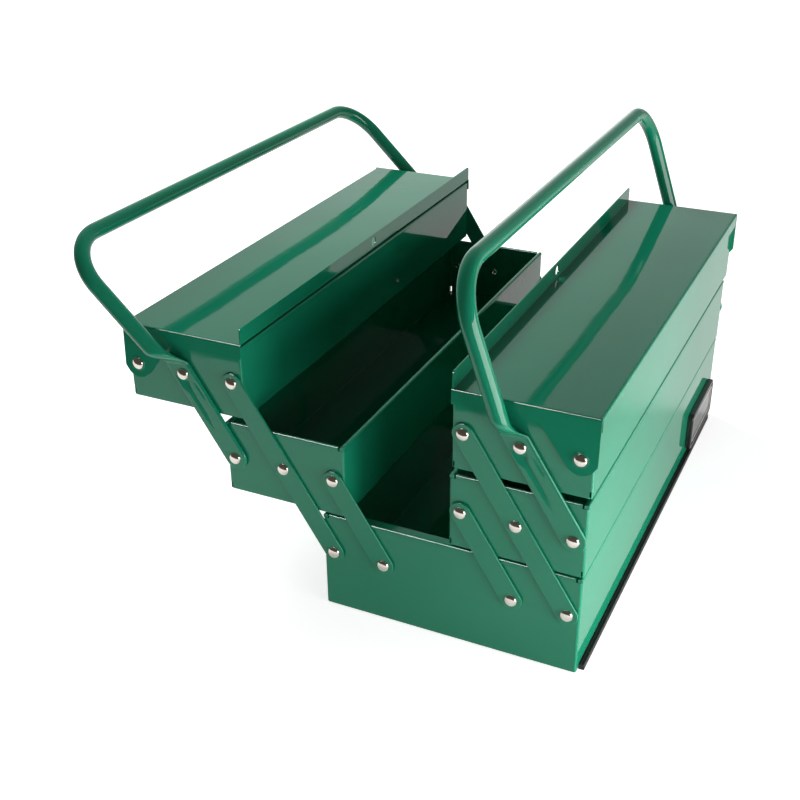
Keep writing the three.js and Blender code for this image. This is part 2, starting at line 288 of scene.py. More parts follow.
def black_gloss_plastic():
    n = Nodes("black_gloss_plastic")
    tone = n.noise(60.0, detail=3.0)
    n.drive(
        Base_Color=n.ramp(tone, [(0.3, (0.008, 0.008, 0.008)), (0.7, (0.014, 0.014, 0.014))]),
        Roughness=n.spread(n.noise(400.0), 0.10, 0.20, 0.3, 0.7),
        Normal=n.bump(n.noise(180.0, detail=1.0), 0.00002, 0.4),
    )
    n.set(IOR=1.5, Coat_Weight=0.4, Coat_Roughness=0.05)
    return n.material


def pale_table():
    """A pale table that glows more and more away from the object, and most for the camera's own rays."""
    n = Nodes("pale_floor")
    away = n.add("ShaderNodeVectorMath", operation="LENGTH")
    n.link(n.place, away.inputs[0])
    seen = n.add("ShaderNodeLightPath").outputs["Is Camera Ray"]
    glow = n.add("ShaderNodeMath", operation="MULTIPLY_ADD")
    n.link(seen, glow.inputs[0])
    glow.inputs[1].default_value = 0.5
    n.link(n.spread(away.outputs["Value"], TABLE_GLOW, TABLE_GLOW_FAR, 0.3, 1.3), glow.inputs[2])
    n.drive(
        Base_Color=n.ramp(n.noise(1.5, detail=2.0), [(0.3, (0.66, 0.66, 0.66)), (0.7, (0.70, 0.70, 0.70))]),
        Emission_Strength=glow.outputs["Value"],
    )
    n.set(Roughness=0.8, Specular_IOR_Level=0.1, Emission_Color=(1, 1, 1, 1))
    return n.material


# ---------------------------------------------------------------- outlines


def rounded(points, radii, steps=5):
    """A 2-D line with each inner corner turned into an arc of the given radius."""
    line = [tuple(points[0])]
    for before, corner, after, radius in zip(points, points[1:], points[2:], radii):
        before, corner, after = Vector(before), Vector(corner), Vector(after)
        into, out = (corner - before).normalized(), (after - corner).normalized()
        turn = into.angle_signed(out)
        if radius <= 0 or abs(turn) < 1e-6:
            line.append(tuple(corner))
            continue
        centre = corner + (out - into).normalized() * radius / math.cos(turn / 2)
        arm = corner - into * radius * math.tan(abs(turn) / 2) - centre
        for i in range(steps + 1):
            angle = -turn * i / steps
            c, s = math.cos(angle), math.sin(angle)
            line.append((centre.x + c * arm.x - s * arm.y, centre.y + s * arm.x + c * arm.y))
    line.append(tuple(points[-1]))
    return line


def rounded_loop(low_u, high_u, low_v, high_v, radius, steps=5):
    """The points round a rectangle with round corners."""
    points = []
    corners = [(high_u, low_v, -90), (high_u, high_v, 0), (low_u, high_v, 90), (low_u, low_v, 180)]
    for u, v, start in corners:
        centre_u = u - radius if u == high_u else u + radius
        centre_v = v - radius if v == high_v else v + radius
        for i in range(steps + 1):
            angle = math.radians(start + 90 * i / steps)
            points.append((centre_u + radius * math.cos(angle), centre_v + radius * math.sin(angle)))
    return points


def parallel(line, distance):
    """A 2-D line moved sideways by a distance."""
    moved = []
    for i, point in enumerate(line):
        here = Vector(point)
        arms = []
        if i > 0:
            arms.append((here - Vector(line[i - 1])).normalized())
        if i + 1 < len(line):
            arms.append((Vector(line[i + 1]) - here).normalized())
        normals = [Vector((-a.y, a.x)) for a in arms]
        middle = sum(normals, Vector((0, 0))).normalized()
        moved.append(tuple(here + middle * distance / middle.dot(normals[0])))
    return moved


def step(value, low, high):
    """0 below low and 1 above high, with a smooth rise between them."""
    share = min(max((value - low) / (high - low), 0.0), 1.0)
    return share * share * (3 - 2 * share)


# ---------------------------------------------------------------- mesh tools


def bridge(bm, a, b):
    """Faces between two closed rings of vertices. A corner that both rings share is taken once."""
    for i in range(len(a)):
        j = (i + 1) % len(a)
        bm.faces.new(list(dict.fromkeys((a[i], a[j], b[j], b[i]))))


def add_loft(bm, rings):
    """A closed body through rings of the same number of 3-D points."""
    made = [[bm.verts.new(p) for p in ring] for ring in rings]
    for a, b in zip(made, made[1:]):
        bridge(bm, a, b)
    bm.faces.new(made[0])
    bm.faces.new(made[-1])


def add_hoop(bm, rings):
    """A closed body through rings of 3-D points, from the last ring back to the first."""
    made = [[bm.verts.new(p) for p in ring] for ring in rings]
    for a, b in zip(made, made[1:] + made[:1]):
        bridge(bm, a, b)


def add_turned(bm, profile, steps, place):
    """A body turned from a profile of radii and heights that starts and ends on the axis.

    place(radius, height, angle) gives the 3-D point.
    """
    angles = [2 * math.pi * k / steps for k in range(steps)]
    rings = []
    for radius, height in profile:
        if radius == 0:
            rings.append([bm.verts.new(place(0, height, 0))] * steps)
        else:
            rings.append([bm.verts.new(place(radius, height, angle)) for angle in angles])
    for a, b in zip(rings, rings[1:]):
        bridge(bm, a, b)


def add_sheet(bm, line, thickness, stations, place):
    """A bent sheet: its centre line carried through the stations.

    place(point, station) gives the 3-D point.
    """
    faces_of = [parallel(line, thickness / 2), parallel(line, -thickness / 2)]
    grid = [[[bm.verts.new(place(p, s)) for p in face] for face in faces_of] for s in stations]
    count = len(line)
    for a, b in zip(grid, grid[1:]):
        for i in range(count - 1):
            bm.faces.new((a[0][i], a[0][i + 1], b[0][i + 1], b[0][i]))
            bm.faces.new((a[1][i + 1], a[1][i], b[1][i], b[1][i + 1]))
        for i in (0, count - 1):
            bm.faces.new((a[0][i], b[0][i], b[1][i], a[1][i]))
    for end in (grid[0], grid[-1]):
        for i in range(count - 1):
            bm.faces.new((end[0][i], end[0][i + 1], end[1][i + 1], end[1][i]))


def object_of(bm, name):
    """An object for a mesh that is written in millimetres."""
    bmesh.ops.recalc_face_normals(bm, faces=bm.faces)
    bmesh.ops.scale(bm, vec=(MM, MM, MM), verts=bm.verts)
    mesh = bpy.data.meshes.new(name)
    bm.to_mesh(mesh)
    bm.free()
    made = bpy.data.objects.new(name, mesh)
    bpy.context.scene.collection.objects.link(made)
    return made


def settle(made):
    """Applies the modifiers to the mesh."""
    bpy.context.view_layer.update()
    evaluated = made.evaluated_get(bpy.context.evaluated_depsgraph_get())
    mesh = bpy.data.meshes.new_from_object(evaluated)
    old = made.data
    made.modifiers.clear()
    made.data = mesh
    bpy.data.meshes.remove(old)
    mesh.name = made.name


def cut(made, cutter):
    """Cuts one object from another, and removes the cutter."""
    modifier = made.modifiers.new("cut", "BOOLEAN")
    modifier.operation = "DIFFERENCE"
    modifier.solver = "EXACT"
    modifier.object = cutter
    settle(made)
    bpy.data.objects.remove(cutter)


def thicken(made):
    """Gives a single surface the sheet's thickness, half to either side."""
    modifier = made.modifiers.new("sheet", "SOLIDIFY")
    modifier.thickness = SHEET * MM
    modifier.offset = 0
    modifier.use_even_offset = True
    settle(made)


def soften(made, width, segments, angle):
    """Rounds the edges that are sharper than an angle a little, so that they catch the light."""
    modifier = made.modifiers.new("soften", "BEVEL")
    modifier.width = width * MM
    modifier.segments = segments
    modifier.limit_method = "ANGLE"
    modifier.angle_limit = math.radians(angle)
    modifier.miter_outer = "MITER_ARC"
    settle(made)


def merge(made, extra):
    """Adds a second object's mesh to the first one's, and removes the second."""
    both = bmesh.new()
    both.from_mesh(made.data)
    both.from_mesh(extra.data)
    both.to_mesh(made.data)
    both.free()
    bpy.data.objects.remove(extra)


def finish_piece(made, material, body, nodes=(), sharp=35):
    """Smooth shading with flat faces kept flat, a material, and a place in the frame."""
    mesh = made.data
    mesh.materials.clear()
    mesh.materials.append(material)
    for face in mesh.polygons:
        face.use_smooth = True
        face.material_index = 0
    mesh.set_sharp_from_angle(angle=math.radians(sharp))
    weighted = made.modifiers.new("weighted", "WEIGHTED_NORMAL")
    weighted.keep_sharp = True
    weighted.weight = 100
    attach(made, body)
    if nodes:
        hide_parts(*nodes)


def box_of(node):
    """A CAD piece's box in millimetres: x0, x1, y0, y1, z0, z1."""
    low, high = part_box(node)
    return [value / MM for pair in zip(low, high) for value in pair]


def axis_of(node):
    """A rivet's axis in X and Z, in millimetres."""
    low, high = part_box(node)
    return (low.x + high.x) / 2 / MM, (low.z + high.z) / 2 / MM


def pivot_of(name, side):
    """The axis that the rivets of one name share on a side, in X and Z."""
    return axis_of(f"rivet_{name}_near_{side}")


# ---------------------------------------------------------------- base and trays


def round_foot(radius, steps=5):
    """A quarter turn at the foot of a wall, from the floor to the wall: how far in and how far up."""
    angles = [math.pi / 2 * i / steps for i in range(steps + 1)]
    return [(radius * (1 - math.sin(a)), radius * (1 - math.cos(a))) for a in angles]


def tub_walls(node, x0, x1, length, z0, wall_top):
    """The floor and four walls, lofted up the outside, over the walls' tops and down the inside."""
    outside = [(inset, z0 + z) for inset, z in round_foot(TUB_FOOT)]
    inside = [(SHEET + inset, z0 + SHEET + z) for inset, z in round_foot(TUB_INNER_FOOT)]
    rings = []
    for inset, z in [*outside, (0, wall_top), (SHEET, wall_top), *reversed(inside)]:
        corner = max(TUB_CORNER - inset, TUB_LEAST_CORNER)
        loop = rounded_loop(x0 + inset, x1 - inset, -length + inset, length - inset, corner)
        rings.append([(x, y, z) for x, y in loop])
    bm = bmesh.new()
    add_loft(bm, rings)
    return object_of(bm, node + "_body")


def relief_cutter(x0, x1, length, z0):
    """Blocks for the upright slots at the feet of both end walls, beside the side walls."""
    below = 3.0
    middle = z0 + (RELIEF_HEIGHT - below) / 2
    size = Matrix.Diagonal((RELIEF_WIDTH, 4 * SHEET, RELIEF_HEIGHT + below, 1))
    inset = SHEET + RELIEF_WIDTH / 2
    bm = bmesh.new()
    for x in (x0 + inset, x1 - inset):
        for way in ENDS.values():
            bmesh.ops.create_cube(bm, size=1, matrix=Matrix.Translation((x, way * length, middle)) @ size)
    return object_of(bm, "cutter")


def add_side_hem(bm, x, inward, foot, stations):
    """A rim folded flat on itself along the top of a long wall, closed at its ends."""
    outline = rounded(
        [(0, 1), (0, HEM_HEIGHT), (SIDE_HEM, HEM_HEIGHT), (SIDE_HEM, 0), (0, 0), (0, 1)],
        [1.3, 1.1, 0.3, 0.0],
    )[:-1]
    add_loft(bm, [[(x + inward * u, y, foot + v) for u, v in outline] for y in stations])


def add_end_hem(bm, width, way, length, foot, stations):
    """A rolled rim along the top of an end wall: up, over and, where it is narrow, down again."""
    top = HEM_HEIGHT - SHEET / 2
    if width < SIDE_HEM:
        radius = 0.85
        over = [(width - SHEET / 2, top), (width - SHEET / 2, 0.5)]
    else:
        radius = 1.0
        over = [(width, top)]
    line = rounded([(SHEET / 2, 0), (SHEET / 2, top), *over], [radius, radius])
    add_sheet(bm, line, SHEET, stations, lambda p, x: (x, way * (length - p[0]), foot + p[1]))


def tub_hems(node, x0, x1, length, wall_top, end_hem):
    """The four rims on top of a tub's walls."""
    bm = bmesh.new()
    reach = length - SIDE_HEM_SETBACK
    for x, inward in ((x0, 1), (x1, -1)):
        add_side_hem(bm, x, inward, wall_top, [-reach, -reach / 2, 0, reach / 2, reach])
    inset = SIDE_HEM + HEM_GAP
    for way in ENDS.values():
        add_end_hem(bm, end_hem, way, length, wall_top, [x0 + inset, (x0 + x1) / 2, x1 - inset])
    return object_of(bm, node + "_hems")


def tub(node, body, end_hem, slotted):
    """An open sheet-metal box: round corners, rolled rims and, on a tray, relief slots."""
    x0, x1, _, length, z0, z1 = box_of(node)
    wall_top = z1 - HEM_HEIGHT
    walls = tub_walls(node, x0, x1, length, z0, wall_top)
    if slotted:
        cut(walls, relief_cutter(x0, x1, length, z0))
    hems = tub_hems(node, x0, x1, length, wall_top, end_hem)
    soften(hems, width=0.18, segments=2, angle=60)
    soften(walls, width=0.15, segments=2, angle=60)
    merge(walls, hems)
    finish_piece(walls, PAINT, body, [node])


# ---------------------------------------------------------------- lids


def splay(z):
    """How far out an ear stands at a height, because of its lean."""
    return (EAR_TILT_Z - z) * math.tan(EAR_TILT)


def ear_outline():
    """The lid's end below its bend, in X and Z from the pivot.

    It runs from the outer edge round the ear to the inner edge, without the two upper corners,
    which the bend's own vertices make.
    """
    skirt_z = LID_TOP - LID_SKIRT
    taper = Vector((EAR_TAPER_X, skirt_z))
    start = math.atan2(taper.y, taper.x) + math.acos(EAR_RADIUS / taper.length)
    stop = 2 * math.pi + EAR_CORNER_ANGLE
    arc = []
    steps = 28
    for i in range(steps + 1):
        angle = stop + (start - stop) * i / steps
        arc.append((EAR_RADIUS * math.cos(angle), EAR_RADIUS * math.sin(angle)))
    outer_edge = rounded([(LID_OUTER, LID_TOP - 2), (LID_OUTER, EAR_CORNER_Z), arc[0]], [3.0])
    taper_edge = rounded([arc[-1], tuple(taper), (LID_INNER, skirt_z)], [5.0])
    inner_edge = rounded([taper_edge[-2], (LID_INNER, skirt_z), (LID_INNER, LID_TOP - 2)], [1.0])
    return outer_edge[1:-1] + arc + taper_edge[1:-1] + inner_edge[1:-1]


def lid_section():
    """The lid's middle surface across its width, in X and Z: upstand, plate and skirt with round bends."""
    half = SHEET / 2
    return rounded(
        [
            (LID_INNER + half, LID_TOP + UPSTAND_HEIGHT),
            (LID_INNER + half, LID_TOP - half),
            (LID_OUTER - half, LID_TOP - half),
            (LID_OUTER - half, LID_TOP - LID_SKIRT),
        ],
        [0.8, LID_BEND], LID_BEND_STEPS,
    )


def lid_sheet(side, spot):
    """The lid's bent sheet: upstand, plate and skirt in one sweep, and at either end a bend and an ear."""
    bm = bmesh.new()
    made = {}

    def vertex(x, y, z):
        key = (round(x, 4), round(y, 4), round(z, 4))
        if key not in made:
            made[key] = bm.verts.new(spot(x, y, z))
        return made[key]

    def quad(*corners):
        bm.faces.new([vertex(*c) for c in corners])

    # past the corner slits, the sweep stops where the skirt's bend starts
    line = lid_section()
    plate_start = 1 + LID_BEND_STEPS
    plate_end = plate_start + 1
    rows = [-LID_BEND_Y, -LID_SLIT_Y, -LID_SLIT_Y / 2, 0, LID_SLIT_Y / 2, LID_SLIT_Y, LID_BEND_Y]
    for i, ((xa, za), (xb, zb)) in enumerate(zip(line, line[1:])):
        for ya, yb in zip(rows, rows[1:]):
            past_slit = max(abs(ya), abs(yb)) > LID_SLIT_Y
            if i < plate_end or not past_slit:
                quad((xa, ya, za), (xb, ya, zb), (xb, yb, zb), (xa, yb, za))

    # at each end: the plate's flat outer corner, a quarter turn down and the ear
    plate_z = LID_TOP - SHEET / 2
    columns = [LID_INNER, line[plate_start][0], line[plate_end][0], LID_OUTER]
    for way in ENDS.values():
        quad(
            (columns[2], way * LID_SLIT_Y, plate_z), (columns[2], way * LID_BEND_Y, plate_z),
            (LID_OUTER, way * LID_BEND_Y, plate_z), (LID_OUTER, way * LID_SLIT_Y, plate_z),
        )
        bend = []
        for k in range(LID_BEND_STEPS + 1):
            angle = math.pi / 2 * k / LID_BEND_STEPS
            out = (LID_BEND + splay(plate_z)) * math.sin(angle)
            bend.append((way * (LID_BEND_Y + out), plate_z - LID_BEND * (1 - math.cos(angle))))
        for (ya, za), (yb, zb) in zip(bend, bend[1:]):
            for xa, xb in zip(columns, columns[1:]):
                quad((xa, ya, za), (xb, ya, za), (xb, yb, zb), (xa, yb, zb))
        y, z = bend[-1]
        across = [vertex(x, y, z) for x in columns]
        below = [vertex(px, y + way * (splay(pz) - splay(z)), pz) for px, pz in ear_outline()]
        bm.faces.new(across + below)
    piece = object_of(bm, f"lid_{side}_sheet")
    thicken(piece)
    return piece


def lid_cutter(spot):
    """The padlock's hole through the upstand, and what rounds the upstand's two upper corners."""
    bm = bmesh.new()
    hole_at = Matrix.Translation(spot(LID_INNER, 0, PADLOCK_HOLE_Z)) @ Matrix.Rotation(math.pi / 2, 4, "Y")
    bmesh.ops.create_cone(
        bm, cap_ends=True, segments=40, depth=8,
        radius1=PADLOCK_HOLE_RADIUS, radius2=PADLOCK_HOLE_RADIUS, matrix=hole_at,
    )
    radius, past = 2.5, 2.0
    tip, edge = LID_TOP + UPSTAND_HEIGHT, LID_BEND_Y
    corner = rounded([(edge - radius, tip), (edge, tip), (edge, tip - radius)], [radius])
    outline = corner + [(edge + past, tip - radius), (edge + past, tip + past), (edge - radius, tip + past)]
    for way in ENDS.values():
        add_loft(bm, [[spot(LID_INNER + x, way * y, z) for y, z in outline] for x in (-2, 3)])
    return object_of(bm, "cutter")


def pivot_rings(spot):
    """A low ring raised on each ear, round its rivet."""
    low, high = splay(0) - 0.3, splay(0) + 0.28
    section = rounded([(5.9, low), (5.7, high), (4.9, high), (HEAD_RADIUS, low)], [0.2, 0.2], 3)
    steps = 40
    bm = bmesh.new()
    for way in ENDS.values():
        rings = []
        for k in range(steps):
            angle = 2 * math.pi * k / steps
            c, s = math.cos(angle), math.sin(angle)
            rings.append([spot(radius * c, way * (LID_END + out), radius * s) for radius, out in section])
        add_hoop(bm, rings)
    return object_of(bm, "rings")


def lid(side):
    pivot_x, pivot_z = pivot_of("lid_pivot", side)

    def spot(x, y, z):
        return pivot_x + SIDES[side] * x, y, pivot_z + z

    piece = lid_sheet(side, spot)
    cut(piece, lid_cutter(spot))
    soften(piece, width=0.4, segments=3, angle=50)
    merge(piece, pivot_rings(spot))
    finish_piece(piece, PAINT, f"lid_{side}", [f"lid_{side}"])


# ---------------------------------------------------------------- links


def leaning(side):
    """Outwards across a side's links, and up along them, in X and Z. The links of both sides lean left."""
    c, s = math.cos(LEAN_AT_STOP), math.sin(LEAN_AT_STOP)
    return SIDES[side] * Vector((c, s)), Vector((-s, c))


def link(kind, count, end, side):
    """A flat strip with round ends, one pitch between each pair of its rivets, which are made on their own.
    """
    node = f"{kind}_link_{end}_{side}"
    x, z = pivot_of(f"{kind}_link_bottom", side)
    across, along = leaning(side)
    radius = LINK_WIDTH / 2
    steps = 24
    outline = []
    for centre, start in ((0, 180), ((count - 1) * LINK_PITCH, 0)):
        for i in range(steps + 1):
            angle = math.radians(start + 180 * i / steps)
            outline.append((radius * math.cos(angle), centre + radius * math.sin(angle)))
    face = [(x + u * across.x + v * along.x, z + u * across.y + v * along.y) for u, v in outline]
    inside = HALF_LENGTH + LAYER_GAP
    outside = inside + LINK_THICKNESS
    bm = bmesh.new()
    add_loft(bm, [[(px, ENDS[end] * y, pz) for px, pz in face] for y in (inside, outside)])
    piece = object_of(bm, node + "_strip")
    soften(piece, width=0.55, segments=4, angle=60)
    finish_piece(piece, PAINT, f"{kind}_links_{side}", [node], sharp=50)


# ---------------------------------------------------------------- handles

# Steps along each face and round each edge of a section: the same from the flat ends to the grip
FACE_STEPS = 36
EDGE_STEPS = 6
SECTION_POINTS = 2 * (FACE_STEPS + EDGE_STEPS)


def pressed_groove(down, t):
    """How deep the press mark in a flat end is, at a distance below the upper pivot and across the strip.

    It is a ramp that falls from one edge of the mark to the other: wide beside the upper rivet,
    then a narrow groove that runs out to a point.
    """
    # the two edges of the mark draw in below the rivet, and meet at its point
    to_point = step(down, 34.0, 54.0)
    first = -8.4 + 4.0 * step(down, 6.0, 15.0)
    last = 2.1 - 2.9 * step(down, 4.0, 12.0)
    first += (-2.9 - first) * to_point
    last += (-2.8 - last) * to_point
    # it is deepest beside the rivet, and starts along a slanted line
    deepest = (1.25 - 0.45 * step(down, 6.0, 16.0)) * (1 - to_point) * step(down - t, 2.6, 6.0)
    if t < first:
        depth = 0.0
    elif t < last:
        depth = deepest * (t - first) / (last - first)
    else:
        depth = deepest * max(1 - (t - last) / 0.9, 0.0)
    # a short dish towards the other edge
    dish = 0.4 * step(down, 7.0, 13.0) * (1 - step(down, 18.0, 27.0))
    return max(depth, dish * (1 - step(abs(t - 5.9), 0.3, 1.9)))


def flat_section(half_width, down, way):
    """The ring of points round a pressed end: across it and out from its middle."""
    half = FLAT_THICKNESS / 2
    round_edge = min(half, half_width * 0.9)
    reach = half_width - round_edge
    points = []
    for i in range(FACE_STEPS):
        t = reach - 2 * reach * i / FACE_STEPS
        points.append((t, half - pressed_groove(down, way * t)))
    for i in range(EDGE_STEPS):
        angle = math.pi / 2 + math.pi * i / EDGE_STEPS
        points.append((-reach + round_edge * math.cos(angle), half * math.sin(angle)))
    for i in range(FACE_STEPS):
        points.append((-reach + 2 * reach * i / FACE_STEPS, -half))
    for i in range(EDGE_STEPS):
        angle = -math.pi / 2 + math.pi * i / EDGE_STEPS
        points.append((reach + round_edge * math.cos(angle), half * math.sin(angle)))
    return points


def round_section():
    """The ring of points round the tube, with as many points as a pressed end has."""
    points = []
    for k in range(SECTION_POINTS):
        # the middle of the outer face is at a quarter turn
        angle = math.pi / 2 + 2 * math.pi * (k - FACE_STEPS / 2) / SECTION_POINTS
        points.append((TUBE_RADIUS * math.cos(angle), TUBE_RADIUS * math.sin(angle)))
    return points


def leg_point(distance):
    """The leg's centre line in X and Z, at a distance up it from the upper pivot."""
    return (
        distance * math.sin(LEG_LEAN) + LEG_OFFSET * math.cos(LEG_LEAN),
        distance * math.cos(LEG_LEAN) - LEG_OFFSET * math.sin(LEG_LEAN),
    )


def leg_ring(distance):
    """The tube's section at a distance up the leg."""
    x, z = leg_point(distance)
    return [(x + t * math.cos(LEG_LEAN), LEG_Y + n, z - t * math.sin(LEG_LEAN)) for t, n in round_section()]


def flat_ring(half_width, z, way):
    """The pressed end's section at a height from the upper pivot."""
    y = HALF_LENGTH + LAYER_GAP + FLAT_THICKNESS / 2
    return [(t, y + n, z) for t, n in flat_section(half_width, -z, way)]


def flat_rings(way):
    """The pressed end: round below its lower rivet, then straight up past the upper one."""
    rings = []
    for turn in (12, 20, 28, 36, 45, 54, 63, 72, 81, 90):
        angle = math.radians(turn)
        z = -LINK_PITCH - FLAT_HALF_WIDTH * math.cos(angle)
        rings.append(flat_ring(FLAT_HALF_WIDTH * math.sin(angle), z, way))
    z = -LINK_PITCH + 4.0
    while z < 2.0:
        rings.append(flat_ring(FLAT_HALF_WIDTH, z, way))
        # closer together where the press mark is
        z += 1.1 if z > -58 else 4.0
    return rings


def knee_rings(way):
    """The change from pressed end to round tube. It starts lower on one edge than on the other."""
    low, height, steps = 3.5, 31.0, 30
    rings = []
    for i in range(steps + 1):
        z = low + height * i / steps
        ring = []
        for flat, tube in zip(flat_ring(FLAT_HALF_WIDTH, z, way), leg_ring(z)):
            start = 9.5 - 4.5 * way * flat[0] / FLAT_HALF_WIDTH
            share = min(max((z - start) / 17.0, 0.0), 1.0)
            swell = 0.45 * step(share, 0, 1) + 0.55 * share * (2 - share)
            ring.append(tuple(p + (q - p) * swell for p, q in zip(flat, tube)))
        rings.append(ring)
    return rings


def bend_rings():
    """The quarter turn from a leg into the grip."""
    steps = 20
    rings = []
    for i in range(steps + 1):
        angle = math.pi / 2 * i / steps
        ring = []
        for t, n in round_section():
            reach = GRIP_BEND + n
            x, z = leg_point(GRIP_HEIGHT - GRIP_BEND + reach * math.sin(angle))
            y = LEG_Y - GRIP_BEND + reach * math.cos(angle)
            ring.append((x + t * math.cos(LEG_LEAN), y, z - t * math.sin(LEG_LEAN)))
        rings.append(ring)
    return rings


def half_handle(way):
    """Rings from one flat end up to the grip, in the handle's own frame with Y measured outwards."""
    leg = [leg_ring(distance) for distance in (42, 56, 72, GRIP_HEIGHT - GRIP_BEND - 2)]
    return flat_rings(way) + knee_rings(way) + leg + bend_rings()


def handle(side):
    """One tube from end to end, pressed flat at both ends."""
    x, z = pivot_of("handle_top", side)
    across, along = leaning(side)

    def spot(point, way):
        u, y, v = point
        return x + u * across.x + v * along.x, way * y, z + u * across.y + v * along.y

    # the press marks lie on the same hand at both ends of both handles
    far = [[spot(p, 1) for p in ring] for ring in half_handle(-SIDES[side])]
    near = [[spot(p, -1) for p in ring] for ring in half_handle(SIDES[side])]
    grip = []
    for share in (0.25, 0.5, 0.75):
        grip.append([tuple(a + (b - a) * share for a, b in zip(p, q)) for p, q in zip(far[-1], near[-1])])
    bm = bmesh.new()
    add_loft(bm, far + grip + near[::-1])
    piece = object_of(bm, f"handle_{side}_tube")
    finish_piece(piece, PAINT, f"handle_{side}", [f"handle_{side}"], sharp=70)


# ---------------------------------------------------------------- rivets


def rivet_profile(stack):
    """A rivet's radii and heights from the end wall's outer face: rolled tail, shank and domed head.

    The head sits on a stack of sheets of the given height.
    """
    tail = [
        (0.0, -1.45), (1.1, -1.5), (1.35, -1.7), (1.6, -2.15), (2.1, -2.35),
        (2.7, -2.25), (3.15, -1.85), (3.35, -1.3), (3.3, -1.02),
    ]
    shank_radius, chamfer, bite = 1.6, 0.12, 0.02
    shank = [(shank_radius, -SHEET - bite), (shank_radius, stack + bite)]
    lip = [
        (HEAD_RADIUS - chamfer, stack + bite),
        (HEAD_RADIUS, stack + chamfer),
        (HEAD_RADIUS, stack + HEAD_LIP - 0.15),
    ]
    dome = []
    for turn in range(0, 90, 9):
        angle = math.radians(turn)
        rise = (HEAD_HEIGHT - HEAD_LIP) * math.sin(angle)
        dome.append(((HEAD_RADIUS - chamfer) * math.cos(angle), stack + HEAD_LIP + rise))
    return [*tail, *shank, *lip, *dome, (0.0, stack + HEAD_HEIGHT)]


def rivet(node, way, body, stack):
    x, z = axis_of(node)
    bm = bmesh.new()
    add_turned(bm, rivet_profile(stack), 36, lambda radius, height, angle: (
        x + radius * math.cos(angle),
        way * (HALF_LENGTH + height),
        z + radius * math.sin(angle),
    ))
    piece = object_of(bm, node + "_turned")
    finish_piece(piece, NICKEL, body, [node], sharp=45)


# ---------------------------------------------------------------- trim


def trim_strip():
    """A moulded edging along the foot of the right long side: a step in its face and ridges on its top."""
    x0, x1, y0, y1, z0, z1 = box_of("trim_strip")
    x0 -= TRIM_LAP
    top = z1 - 0.1
    outline = rounded(
        [
            (x0, z0 + 0.1), (x1, z0 + 0.1), (x1, z0 + 1.9), (x1 - 0.7, z0 + 2.2),
            (x1 - 0.1, z0 + 2.5), (x1 - 0.1, top - 0.2), (x1 - 1.1, top), (x1 - 1.3, top - 0.8),
            (x1 - 1.9, top - 0.8), (x1 - 2.1, top), (x1 - 2.9, top), (x1 - 3.1, top - 0.7),
            (x1 - 3.6, top - 0.7), (x1 - 3.8, top), (x0, top), (x0, z0 + 1),
        ],
        [0.3, 0.3, 0.2, 0.2, 0.3, 0.3, 0.1, 0.1, 0.2, 0.2, 0.1, 0.1, 0.2, 0.1, 0.0], 3,
    )
    bm = bmesh.new()
    add_loft(bm, [[(x, y, z) for x, z in outline] for y in (y0, y0 + 0.4, y1 - 0.4, y1)])
    piece = object_of(bm, "trim_strip_moulding")
    finish_piece(piece, BLACK, "base", ["trim_strip"])


def badge_ring(inset, x, corner):
    """The badge's outline drawn in by an inset, at a place in X."""
    _, _, y0, y1, z0, z1 = box_of("badge_plate")
    loop = rounded_loop(y0 + inset, y1 - inset, z0 + inset, z1 - inset, corner, 8)
    return [(x, y, z) for y, z in loop]


def badge_plate():
    """A black plate with a raised border round a field that lies a little deeper."""
    x0, front, *_ = box_of("badge_plate")
    back = x0 - TRIM_LAP
    section = [
        (0.5, back), (0.15, back + 0.6), (0.0, back + 1.4), (0.0, front - 1.2),
        (0.2, front - 0.55), (0.7, front - 0.12), (1.2, front), (2.3, front),
        (2.7, front - 0.15), (3.0, front - 0.6), (3.2, front - BADGE_RECESS),
    ]
    bm = bmesh.new()
    add_loft(bm, [badge_ring(inset, x, max(BADGE_CORNER - inset, 1.5)) for inset, x in section])
    piece = object_of(bm, "badge_plate_moulding")
    finish_piece(piece, GLOSS_BLACK, "base", ["badge_plate"])


def badge_frame():
    """A plain bright frame on the badge's field."""
    field = box_of("badge_plate")[1] - BADGE_RECESS
    outer, inner, corner = 5.8, 7.2, 3.2
    foot, shoulder, top, chamfer = field - 0.1, field + 0.45, field + 0.6, 0.25
    section = [
        (outer, foot), (outer, shoulder), (outer + chamfer, top),
        (inner - chamfer, top), (inner, shoulder), (inner, foot),
    ]
    bm = bmesh.new()
    add_hoop(bm, [badge_ring(inset, x, corner - (inset - outer)) for inset, x in section])
    piece = object_of(bm, "badge_frame")
    finish_piece(piece, NICKEL, "base")


# ---------------------------------------------------------------- floor, light and world


def table():
    """A wide pale table that ends a little way in front of the object."""
    bm = bmesh.new()
    bmesh.ops.create_grid(bm, x_segments=2, y_segments=2, size=TABLE_REACH)
    for vertex in bm.verts:
        vertex.co.y = max(vertex.co.y, TABLE_EDGE)
    made = object_of(bm, "floor")
    made.location.z = -TABLE_DROP * MM
    made.data.materials.append(pale_table())


def softbox(name, place, aim, size, power):
    """A rectangular light, with its place, aim and size in metres and its power in watts."""
    data = bpy.data.lights.new(name, "AREA")
    data.shape = "RECTANGLE"
    data.size, data.size_y = size
    data.energy = power
    made = bpy.data.objects.new(name, data)
    bpy.context.scene.collection.objects.link(made)
    made.location = place
    made.rotation_euler = (Vector(aim) - Vector(place)).to_track_quat("-Z", "Y").to_euler()
    made.visible_camera = False
    return made


